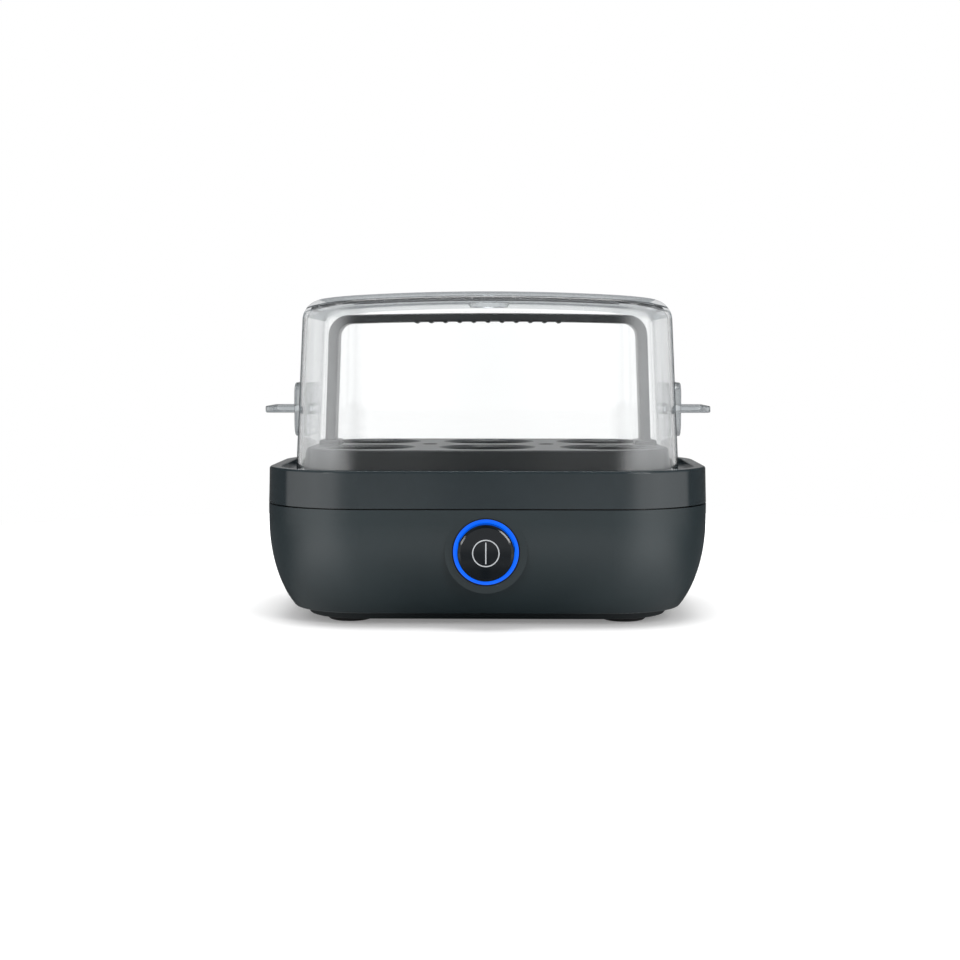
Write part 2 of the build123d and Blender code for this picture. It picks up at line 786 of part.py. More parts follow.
def carrying_handle():
    """The arch that lifts the tray out, with bumps under the bar for the fingers."""
    foot_x_out = handle_half_width + handle_flare
    foot_x_in = foot_x_out - leg_thickness
    top_x_in = handle_half_width - leg_thickness
    shoulder = handle_top - handle_crown
    bar_under = handle_top - bar_thickness
    outer = make_face(
        Polyline((-handle_half_width, shoulder), (-foot_x_out, deck_height), (foot_x_out, deck_height),
                 (handle_half_width, shoulder))
        + ThreePointArc((handle_half_width, shoulder), (0, handle_top), (-handle_half_width, shoulder))
    )
    outer = fillet(outer.vertices().group_by(Axis.Y)[-1], arch_outer_radius)
    inner = make_face(
        Polyline((-top_x_in, shoulder - bar_thickness), (-foot_x_in, deck_height), (foot_x_in, deck_height),
                 (top_x_in, shoulder - bar_thickness))
        + ThreePointArc((top_x_in, shoulder - bar_thickness), (0, bar_under), (-top_x_in, shoulder - bar_thickness))
    )
    inner = fillet(inner.vertices().group_by(Axis.Y)[-1], arch_inner_radius)
    body = extrude(Plane.XZ * (outer - inner), handle_breadth / 2, both=True)
    long_edges = body.edges().filter_by(lambda edge: abs(abs(edge.center().Y) - handle_breadth / 2) < 0.01)
    body = fillet(long_edges.filter_by(lambda edge: edge.center().Z > deck_height + beyond), handle_edge_round)
    bump_length = handle_breadth - 2 * grip_bump_inset
    for step in range(grip_bump_count):
        x = (step - (grip_bump_count - 1) / 2) * grip_bump_pitch
        sag = handle_crown * (x / top_x_in) ** 2
        centre = bar_under - sag + grip_bump_radius - grip_bump_height
        body += Pos(x, 0, centre) * rod_y(grip_bump_radius, -bump_length / 2, bump_length / 2)
    pad = extrude(RectangleRounded(pad_length, pad_breadth, pad_length / 4), pad_thickness)
    pad = fillet(edges_at(pad, pad_thickness), pad_round)
    body += across(Pos(-handle_screw_x(), 0, deck_height) * pad)
    hole = Cylinder(screw_radius + hole_gap, screw_length - deck_thickness + hole_gap, align=UP)
    return body - across(Pos(-handle_screw_x(), 0, deck_height) * hole)


def handle_screws():
    """Two screws that hold the handle from under the deck."""
    return across(Pos(-handle_screw_x(), 0, deck_height - deck_thickness) * screw(screw_length - slide_gap))


# Lid


def lid_block(inset):
    """The lid's outer form, or its hollow when moved in by a wall."""
    plan = RectangleRounded(
        2 * (lid_half_width - inset), 2 * (lid_half_depth - inset), lid_radius - inset
    )
    top = lid_height - inset
    body = Pos(0, 0, ledge_height) * extrude(plan, top + beyond - ledge_height, taper=lid_draft)
    crown = lid_crown_radius - inset
    body &= Pos(0, 0, top - crown) * Rot(90, 0, 0) * Cylinder(crown, 4 * lid_half_depth)
    roof = body.edges().filter_by(lambda edge: edge.center().Z > grip_height + lid_edge_radius)
    roof = roof.filter_by(lambda edge: edge.bounding_box().size.Z < lid_edge_radius / 2)
    return fillet(roof, lid_edge_radius - inset)


def lid_shell(outer):
    """The clear lid, with the steam vent and the slots for its side grips."""
    body = outer - lid_block(lid_wall)
    dimple_edge = vent_radius + vent_slope
    sunk = Cone(dimple_edge, dimple_edge + lid_wall, vent_sink + vent_lip - lid_wall / 2, align=UP)
    body += Pos(0, vent_setback, lid_height - vent_sink - vent_lip) * sunk
    body -= Pos(0, vent_setback, lid_height) * Cone(vent_radius, dimple_edge, vent_sink, align=DOWN)
    body -= Pos(0, vent_setback, lid_height) * Cylinder(vent_radius, 8 * lid_wall)
    slot_x = lid_half_width
    slot = Box(
        8 * lid_wall, 2 * (grip_root_half_breadth + fit_gap), grip_root_thickness + 2 * fit_gap
    )
    return body - across(Pos(-slot_x, 0, grip_height) * slot)


def left_lid_grip(outer):
    """The clear side grip: a level tab on an upright pad, clipped through the lid's wall."""
    tab_start = lid_half_width - 4 * lid_wall
    tab_length = 2 * (grip_end_x - tab_start)
    plan = RectangleRounded(tab_length, 2 * grip_half_breadth, grip_corner_radius)
    tab = Pos(-tab_start, 0, grip_height - grip_thickness / 2) * extrude(plan, grip_thickness)
    tab = fillet(tab.edges().group_by(Axis.Z)[0] + tab.edges().group_by(Axis.Z)[-1], grip_edge_round)
    pad_plan = Plane.YZ * RectangleRounded(grip_pad_breadth, grip_pad_height, grip_pad_radius)
    pad = Pos(-grip_pad_x, 0, grip_height) * extrude(pad_plan, grip_pad_x - tab_start)
    pad = fillet(pad.edges().group_by(Axis.X)[0], grip_edge_round)
    body = pad + tab - outer
    inner_face = lid_half_width - lid_wall - (grip_height - ledge_height) * tan(radians(lid_draft))
    hook_end = inner_face - grip_hook_depth - fit_gap
    root_length = grip_pad_x - grip_edge_round - hook_end
    root = Box(
        root_length, 2 * grip_root_half_breadth, grip_root_thickness,
        align=(Align.MAX, Align.CENTER, Align.CENTER),
    )
    hook = Box(
        grip_hook_depth, 2 * grip_hook_half_breadth, grip_hook_height,
        align=(Align.MAX, Align.CENTER, Align.CENTER),
    )
    return body + Pos(-hook_end, 0, grip_height) * (root + hook)


def pieces():
    """Every piece with its node's name."""
    made = {
        "lower_housing": lower_housing(),
        "trim_collar": trim_collar(),
        "base_plate": base_plate(),
        "base_screws": base_screws(),
        "cord_gland": cord_gland(),
        "terminal_block": terminal_block(),
        "heating_dish": heating_dish(),
        "dish_seal": dish_seal(),
        "heat_spreader": heat_spreader(),
        "heating_element": heating_element(),
        "element_terminals": element_terminals(),
        "element_clamp": element_clamp(),
        "clamp_screws": clamp_screws(),
        "thermostat": thermostat(),
        "thermal_fuse": thermal_fuse(),
        "lead_wires": lead_wires(),
        "light_ring": light_ring(),
        "power_button": power_button(),
        "button_symbol": symbol(),
        "switch_plunger": switch_plunger(),
        "push_switch": push_switch(),
        "button_spring": button_spring(),
        "control_board": control_board(),
        "board_screws": board_screws(),
        "ring_lamps": ring_lamps(),
        "buzzer": buzzer(),
        "power_relay": power_relay(),
        "egg_tray": egg_tray(),
        "carrying_handle": carrying_handle(),
        "handle_screws": handle_screws(),
    }
    for row, y in (("front", -foot_y), ("rear", foot_y)):
        for side, x in (("left", -foot_x), ("right", foot_x)):
            made[f"{row}_{side}_foot"] = Pos(x, y, 0) * foot()
    outer = lid_block(0)
    grip = left_lid_grip(outer)
    made["lid_shell"] = lid_shell(outer)
    made["left_lid_grip"] = grip
    made["right_lid_grip"] = mirror(grip, Plane.YZ)
    return made


os.makedirs("parts", exist_ok=True)
for name, shape in pieces().items():
    export_step(shape, f"parts/{name}.step")
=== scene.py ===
from math import asin, cos, pi, radians, sin, sqrt, tan

import bmesh
import bpy
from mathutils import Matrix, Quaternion, Vector


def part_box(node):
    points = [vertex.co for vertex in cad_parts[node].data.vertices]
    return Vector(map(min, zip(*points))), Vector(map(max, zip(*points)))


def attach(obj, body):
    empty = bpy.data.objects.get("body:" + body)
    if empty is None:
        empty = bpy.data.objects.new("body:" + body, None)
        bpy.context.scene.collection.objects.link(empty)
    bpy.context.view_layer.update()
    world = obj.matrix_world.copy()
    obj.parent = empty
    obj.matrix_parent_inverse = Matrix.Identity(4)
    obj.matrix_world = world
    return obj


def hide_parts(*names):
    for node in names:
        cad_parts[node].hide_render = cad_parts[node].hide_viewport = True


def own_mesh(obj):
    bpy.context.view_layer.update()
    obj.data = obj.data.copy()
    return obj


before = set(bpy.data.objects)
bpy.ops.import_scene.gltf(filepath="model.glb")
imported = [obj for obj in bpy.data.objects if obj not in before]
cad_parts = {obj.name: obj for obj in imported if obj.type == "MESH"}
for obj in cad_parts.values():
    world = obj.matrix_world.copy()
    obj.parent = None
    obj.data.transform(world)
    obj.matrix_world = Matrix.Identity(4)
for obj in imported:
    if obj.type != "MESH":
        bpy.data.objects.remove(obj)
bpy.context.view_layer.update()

bl_info = {
    "name": "Egg Cooker Finish",
    "version": (1, 0, 0),
    "blender": (4, 5, 0),
    "location": "View3D > Sidebar > Egg Cooker",
    "description": "Finishes the pieces of an electric egg cooker and sets up its studio",
    "category": "Object",
}

MM = 0.001
MERGE_REACH = 0.002 * MM
BACKWARD = (0, 1, 0)


# Shader nodes


class Wire:
    """The output of a shader node, on which shader maths is written as expressions."""

    def __init__(self, tree, socket):
        self.tree = tree
        self.socket = socket

    def math_node(self, operation, first, second=0.0):
        return self.tree.add("ShaderNodeMath", {"operation": operation}, {0: first, 1: second})

    def __add__(self, other):
        return self.math_node("ADD", self, other)

    __radd__ = __add__

    def __sub__(self, other):
        return self.math_node("SUBTRACT", self, other)

    def __rsub__(self, other):
        return self.math_node("SUBTRACT", other, self)

    def __mul__(self, other):
        return self.math_node("MULTIPLY", self, other)

    __rmul__ = __mul__

    def __truediv__(self, other):
        return self.math_node("DIVIDE", self, other)

    def __rtruediv__(self, other):
        return self.math_node("DIVIDE", other, self)

    def __pow__(self, other):
        return self.math_node("POWER", self, other)

    def __abs__(self):
        return self.math_node("ABSOLUTE", self)

    def least(self, other):
        return self.math_node("MINIMUM", self, other)

    def step(self, start, end):
        """A smooth step from 0 at start to 1 at end."""
        settings = {"interpolation_type": "SMOOTHSTEP"}
        return self.tree.add("ShaderNodeMapRange", settings, {"Value": self, "From Min": start, "From Max": end})


class Tree:
    """A node tree that nodes are added to and joined in."""

    def __init__(self, owner):
        owner.use_nodes = True
        self.nodes = owner.node_tree.nodes
        self.links = owner.node_tree.links
        self.nodes.clear()

    def add(self, kind, settings=None, values=None, output=0):
        """Adds a node: its settings first, then the values or links of its sockets."""
        node = self.nodes.new(kind)
        for key, value in (settings or {}).items():
            if key == "stops":
                self.set_stops(node.color_ramp, value)
            else:
                setattr(node, key, value)
        for key, value in (values or {}).items():
            socket = node.inputs[key]
            if isinstance(value, Wire):
                self.links.new(value.socket, socket)
            else:
                socket.default_value = value
        return Wire(self, node.outputs[output] if len(node.outputs) else None)

    def set_stops(self, ramp, stops):
        while len(ramp.elements) < len(stops):
            ramp.elements.new(1.0)
        for element, (place, colour) in zip(ramp.elements, stops):
            element.position = place
            element.color = (*colour, 1.0) if len(colour) == 3 else colour

    def place(self):
        """The object's own coordinates, in metres."""
        return self.add("ShaderNodeTexCoord", output="Object")

    def scaled(self, vector, scale):
        return self.add("ShaderNodeMapping", None, {"Vector": vector, "Scale": scale})

    def parts(self, vector):
        """The three numbers of a vector."""
        split = self.add("ShaderNodeSeparateXYZ", None, {0: vector})
        node = split.socket.node
        return [Wire(self, node.outputs[axis]) for axis in range(3)]

    def noise(self, vector, scale, detail=2.0, roughness=0.5):
        values = {"Vector": vector, "Scale": scale, "Detail": detail, "Roughness": roughness}
        return self.add("ShaderNodeTexNoise", None, values)

    def mix(self, factor, first, second):
        """A colour between two colours."""
        settings = {"data_type": "RGBA"}
        node = self.add("ShaderNodeMix", settings, {"Factor": factor}).socket.node
        for name, value in (("A", first), ("B", second)):
            socket = next(s for s in node.inputs if s.name == name and s.type == "RGBA")
            if isinstance(value, Wire):
                self.links.new(value.socket, socket)
            else:
                socket.default_value = (*value[:3], 1.0)
        return Wire(self, next(s for s in node.outputs if s.type == "RGBA"))

    def bump(self, height, distance, strength=1.0):
        return self.add("ShaderNodeBump", None, {"Height": height, "Distance": distance, "Strength": strength})

    def ray_kinds(self):
        """Masks for what the camera sees, a reflection shows, clear plastic shows and its folds show."""
        path = self.add("ShaderNodeLightPath").socket.node
        camera, glossy, clear, soft, mirrored = [
            Wire(self, path.outputs[name])
            for name in ("Is Camera Ray", "Is Glossy Ray", "Is Transmission Ray", "Diffuse Depth", "Glossy Depth")]
        unsoftened = 1.0 - soft.least(1.0)
        folded = clear * unsoftened * mirrored.least(1.0)
        through = clear * unsoftened * (1.0 - mirrored.least(1.0))
        return camera, glossy * (1.0 - clear), through, folded

    def finish(self, shader, kind="ShaderNodeOutputMaterial"):
        self.add(kind, None, {"Surface": shader})


def shade(colour, factor):
    """A colour made lighter or darker."""
    return tuple(channel * factor for channel in colour[:3])


def coated(name, surface, *values, **named):
    """A material with the surface that a function makes in its tree, most often from a colour and a roughness."""
    material = bpy.data.materials.new(name)
    tree = Tree(material)
    tree.finish(surface(tree, *values, **named))
    return material


def principled(tree, values):
    return tree.add("ShaderNodeBsdfPrincipled", None, values)


def moulded_plastic(tree, colour, roughness, grain=0.3 * MM, depth=0.006 * MM, drift=0.06):
    """Satin moulded plastic: a fine spark texture, with slow drifts of tone and gloss."""
    place = tree.place()
    fine = tree.noise(place, 1 / grain, 3.0, 0.6)
    cloud = tree.noise(place, 28.0, 2.0)
    tone = tree.mix(cloud.step(0.3, 0.7), shade(colour, 1 - drift), shade(colour, 1 + drift))
    gloss = roughness + (cloud - 0.5) * 0.06 + (fine - 0.5) * 0.08
    return principled(tree, {"Base Color": tone, "Roughness": gloss, "Normal": tree.bump(fine, depth)})


def gloss_plastic(tree, colour, roughness, mirror=0.5):
    """Polished plastic: a faint ripple from the mould and a trace of handling in the gloss."""
    place = tree.place()
    ripple = tree.noise(place, 60.0, 1.0)
    smudge = tree.noise(place, 45.0, 4.0, 0.65)
    tone = tree.mix(smudge.step(0.35, 0.7), shade(colour, 0.96), shade(colour, 1.04))
    gloss = roughness + smudge.step(0.45, 0.75) * 0.05
    values = {"Base Color": tone, "Roughness": gloss, "Normal": tree.bump(ripple, 0.01 * MM, 0.5),
              "Specular IOR Level": mirror}
    return principled(tree, values)


def rubber(tree, colour, roughness=0.75):
    """Matt rubber with a fine grain and a dusty bloom."""
    place = tree.place()
    grain = tree.noise(place, 2600.0, 3.0, 0.6)
    bloom = tree.noise(place, 120.0, 4.0, 0.6)
    tone = tree.mix(bloom.step(0.4, 0.75), colour, [channel * 0.8 + 0.012 for channel in colour[:3]])
    gloss = roughness + (bloom - 0.5) * 0.2
    return principled(tree, {"Base Color": tone, "Roughness": gloss, "Normal": tree.bump(grain, 0.02 * MM)})


def metal(tree, colour, roughness, stretch=(1.0, 1.0, 1.0), scale=900.0, depth=0.004 * MM):
    """Metal with rolling or drawing marks along one way."""
    place = tree.place()
    marks = tree.noise(tree.scaled(place, stretch), scale, 3.0, 0.7)
    cloud = tree.noise(place, 40.0, 3.0)
    tone = tree.mix(cloud.step(0.3, 0.7), shade(colour, 0.92), shade(colour, 1.05))
    gloss = roughness + (marks - 0.5) * 0.25 + (cloud - 0.5) * 0.1
    values = {"Base Color": tone, "Metallic": 1.0, "Roughness": gloss, "Normal": tree.bump(marks, depth)}
    return principled(tree, values)


# Groups of settings


class FinishSettings(bpy.types.PropertyGroup):
    """Colours and gloss of the cooker's surfaces."""

    housing_colour: bpy.props.FloatVectorProperty(
        name="Housing", description="Colour of the satin casing", subtype="COLOR", size=3,
        min=0.0, max=1.0, default=(0.0125, 0.022, 0.0255),
    )
    housing_roughness: bpy.props.FloatProperty(
        name="Housing roughness", description="How matt the casing is", subtype="FACTOR",
        min=0.0, max=1.0, default=0.36,
    )
    collar_colour: bpy.props.FloatVectorProperty(
        name="Collar", description="Colour of the polished band and rim", subtype="COLOR", size=3,
        min=0.0, max=1.0, default=(0.021, 0.029, 0.033),
    )
    tray_colour: bpy.props.FloatVectorProperty(
        name="Tray", description="Colour of the egg tray and its handle", subtype="COLOR", size=3,
        min=0.0, max=1.0, default=(0.006, 0.009, 0.0105),
    )
    cap_colour: bpy.props.FloatVectorProperty(
        name="Button", description="Colour of the push button", subtype="COLOR", size=3,
        min=0.0, max=1.0, default=(0.0042, 0.0062, 0.0082),
    )
    glow_colour: bpy.props.FloatVectorProperty(
        name="Light ring", description="Colour that the ring round the button shines in", subtype="COLOR", size=3,
        min=0.0, max=1.0, default=(0.002, 0.135, 1.0),
    )
    lid_tint: bpy.props.FloatVectorProperty(
        name="Lid tint", description="Tint of the clear plastic", subtype="COLOR", size=3,
        min=0.0, max=1.0, default=(0.985, 0.99, 0.99),
    )
    # Painted shade: the grey film on the lid where it is seen edge on, and on its rear edge and vent, stands in for
    # the darker reflections there; the grips take the same grey.
    lid_edge_painted_shade: bpy.props.FloatVectorProperty(
        name="Lid edge painted shade", description="Tint of the clear plastic where it is seen edge on", subtype="COLOR",
        size=3, min=0.0, max=1.0, default=(0.53, 0.555, 0.57),
    )
    # Painted shade: a light grey film on the roof's front edge, for the band it shows when seen at a grazing angle.
    lid_band_painted_shade: bpy.props.FloatVectorProperty(
        name="Lid band painted shade", description="Tint of the clear plastic round the roof's edge", subtype="COLOR",
        size=3, min=0.0, max=1.0, default=(0.9, 0.905, 0.91),
    )
    # Painted shade: a dark film for the line that the roof's inner edge shows.
    lid_fold_painted_shade: bpy.props.FloatVectorProperty(
        name="Lid fold painted shade", description="Tint of the line along the roof's inner edge", subtype="COLOR",
        size=3, min=0.0, max=1.0, default=(0.16, 0.17, 0.18),
    )


class LidSettings(bpy.types.PropertyGroup):
    """Sizes of the clear lid that its box doesn't give."""

    wall: bpy.props.FloatProperty(
        name="Wall", description="Thickness of the lid", unit="LENGTH", default=1.8 * MM, min=0.5 * MM)
    corner_radius: bpy.props.FloatProperty(
        name="Corner radius", description="Radius of the lid's corners, seen from above", unit="LENGTH",
        default=31.5945 * MM, min=12 * MM)
    draft: bpy.props.FloatProperty(
        name="Draft", description="How far the walls lean in", subtype="ANGLE", default=radians(2.75))
    crown_radius: bpy.props.FloatProperty(
        name="Crown radius", description="Radius of the arched roof", unit="LENGTH", default=0.95, min=0.2)
    edge_front: bpy.props.FloatProperty(
        name="Front edge", description="Rounding of the roof's front and rear edges", unit="LENGTH",
        default=5.0 * MM, min=3 * MM)
    edge_side: bpy.props.FloatProperty(
        name="Side edge", description="Rounding of the roof's side edges", unit="LENGTH",
        default=9.0 * MM, min=3 * MM)
    vent_radius: bpy.props.FloatProperty(
        name="Vent radius", description="Radius of the steam vent", unit="LENGTH", default=6.3 * MM, min=1 * MM)
    vent_setback: bpy.props.FloatProperty(
        name="Vent setback", description="How far behind the middle the vent is", unit="LENGTH", default=38.0 * MM)
    slot_height: bpy.props.FloatProperty(
        name="Slot height", description="Height of the slots for the grips", unit="LENGTH", default=89.6 * MM)
    slot_half_breadth: bpy.props.FloatProperty(
        name="Slot half breadth", description="Half the breadth of those slots", unit="LENGTH", default=14.15 * MM)
    slot_gap: bpy.props.FloatProperty(
        name="Slot opening", description="How high those slots are open", unit="LENGTH", default=2.7 * MM)


class StudioSettings(bpy.types.PropertyGroup):
    """The camera and the lamps."""

    camera_distance: bpy.props.FloatProperty(
        name="Camera distance", description="From the middle of the cooker to the camera", unit="LENGTH",
        default=0.75, min=0.2,
    )
    camera_side: bpy.props.FloatProperty(
        name="Camera offset", description="How far right of the middle the camera stands", unit="LENGTH",
        default=0.009,
    )
    camera_height: bpy.props.FloatProperty(
        name="Camera height", description="Height of the camera above the table", unit="LENGTH",
        default=0.110, min=0.0,
    )
    camera_pitch: bpy.props.FloatProperty(
        name="Camera tilt", description="How far the camera looks down", subtype="ANGLE", default=0.0699,
    )
    camera_heading: bpy.props.FloatProperty(
        name="Camera heading", description="How far the camera turns left", subtype="ANGLE", default=0.0167,
    )
    focal_length: bpy.props.FloatProperty(
        name="Focal length", description="Focal length in millimetres on a 36 mm sensor", default=62.9, min=10.0,
    )


def settings_of(group):
    return getattr(bpy.context.scene, group)


# Modelling


def round_outline(half_x, half_y, radius, turns, divisions):
    """A rounded rectangle as (middle of the corner's arc, outward direction) pairs, anticlockwise from +X."""
    points = []
    signs = ((1, 1), (-1, 1), (-1, -1), (1, -1))
    for quarter, (side_x, side_y) in enumerate(signs):
        core = Vector((side_x * (half_x - radius), side_y * (half_y - radius)))
        for step in range(turns + 1):
            turn = (quarter + step / turns) * pi / 2
            points.append((core, Vector((cos(turn), sin(turn)))))
        way = points[-1][1]
        next_x, next_y = signs[(quarter + 1) % 4]
        end = Vector((next_x * (half_x - radius), next_y * (half_y - radius)))
        count = divisions[quarter % 2]
        points += [(core.lerp(end, step / count), way) for step in range(1, count)]
    return points


def loft(bm, rings):
    """Draws a closed skin over rings of points in an empty mesh, extruding the first ring on from ring to ring."""
    ring = bmesh.ops.create_circle(bm, segments=len(rings[0]), radius=MM)["verts"]
    edges = start_edges = bm.edges[:]
    for vert, point in zip(ring, rings[0]):
        vert.co = point
    for points in rings[1:]:
        made = bmesh.ops.extrude_edge_only(bm, edges=edges)["geom"]
        fresh = {item for item in made if isinstance(item, bmesh.types.BMVert)}
        edges = [item for item in made if isinstance(item, bmesh.types.BMEdge)]
        ring = [next(edge.other_vert(vert) for edge in vert.link_edges if edge.other_vert(vert) in fresh)
                for vert in ring]
        for vert, point in zip(ring, points):
            vert.co = point
    bmesh.ops.bridge_loops(bm, edges=start_edges + edges)


def lathe(bm, profile, middle=(0, 0, 0), axis=(0, 0, 1), steps=48):
    """Turns a profile of (radius, distance along the axis) points into a closed body of revolution."""
    axis = Vector(axis)
    out = axis.orthogonal().normalized()
    verts = [bm.verts.new(Vector(middle) + out * radius + axis * along) for radius, along in profile]
    edges = [bm.edges.new(pair) for pair in zip(verts, verts[1:])]
    bmesh.ops.spin(
        bm, geom=verts + edges, cent=middle, axis=axis, angle=2 * pi, steps=steps, use_merge=True,
    )
    bmesh.ops.remove_doubles(bm, verts=bm.verts[:], dist=MERGE_REACH)


def in_metres(profile):
    return [(radius * MM, along * MM) for radius, along in profile]


def keep(bm, name, material, body, crease=40.0):
    """Makes a piece from the mesh: normals outwards, smooth but for its creases, riding on its body."""
    bmesh.ops.recalc_face_normals(bm, faces=bm.faces[:])
    for face in bm.faces:
        face.smooth = True
    for edge in bm.edges:
        edge.smooth = len(edge.link_faces) == 2 and edge.calc_face_angle(0.0) < radians(crease)
    mesh = bpy.data.meshes.new(name)
    bm.to_mesh(mesh)
    bm.free()
    mesh.materials.append(material)
    piece = bpy.data.objects.new(name, mesh)
    bpy.context.scene.collection.objects.link(piece)
    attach(piece, body)
    return piece


# Pieces


def dress(names, material):
    """Gives CAD nodes a material."""
    for name in names:
        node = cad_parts[name]
        node.data.materials.clear()
        node.data.materials.append(material)


class COOKER_OT_casing(bpy.types.Operator):
    """Finishes the casing, the collar and the base plate"""

    bl_idname = "cooker.casing"
    bl_label = "Casing"

    def execute(self, context):
        finish = settings_of("cooker_finish")
        housing = coated("satin_anthracite", moulded_plastic, finish.housing_colour, finish.housing_roughness)
        collar = coated("polished_anthracite", gloss_plastic, finish.collar_colour, 0.1)
        dim = shade(finish.housing_colour, 0.55)
        plinth = coated("textured_black", moulded_plastic, dim, 0.55, grain=0.5 * MM, depth=0.03 * MM)
        dress(["lower_housing"], housing)
        dress(["trim_collar"], collar)
        dress(["base_plate"], plinth)
        return {"FINISHED"}


class COOKER_OT_feet(bpy.types.Operator):
    """Makes the four feet and the gland, and finishes the seal"""

    bl_idname = "cooker.feet"
    bl_label = "Feet and rubber"

    def execute(self, context):
        black = coated("foot_rubber", rubber, (0.012, 0.012, 0.013))
        grey = coated("seal_silicone", rubber, (0.4, 0.4, 0.38), 0.5)
        dress(["dish_seal"], grey)
        tread = ((0.0, 0.6), (2.2, 0.6), (2.6, 0.4), (2.8, 0.0), (4.4, 0.0), (4.6, 0.45), (5.4, 0.45), (5.6, 0.0),
                 (7.9, 0.0), (8.8, 0.25), (9.5, 0.8), (9.8, 1.7), (9.8, 3.2), (0.0, 3.2))
        for name in [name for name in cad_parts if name.endswith("_foot")]:
            low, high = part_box(name)
            middle = (low + high) / 2
            bm = bmesh.new()
            lathe(bm, in_metres(tread), (middle.x, middle.y, 0.0), steps=56)
            foot = keep(bm, name + "_tread", black, "base", crease=50.0)
            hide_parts(name)
        low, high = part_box("cord_gland")
        length = (high.y - low.y) / MM
        bushing = ((3.6, 0.0), (8.6, 0.0), (8.6, 2.0), (6.0, 2.0), (6.0, 5.0), (8.6, 5.0), (8.6, 6.5), (8.35, 7.1),
                   (7.7, length), (7.0, length), (6.7, 7.0), (6.2, 7.0), (5.9, length), (4.7, length), (4.1, 7.2),
                   (3.7, 6.6), (3.6, 5.9), (3.6, 0.0))
        bm = bmesh.new()
        lathe(bm, in_metres(bushing), (0.0, low.y, (low.z + high.z) / 2), BACKWARD, steps=64)
        gland = keep(bm, "gland_bushing", black, "base", crease=50.0)
        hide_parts("cord_gland")
        return {"FINISHED"}


# Radius of the ball that dishes the cap's face, in millimetres
DISH_RADIUS = 109.45


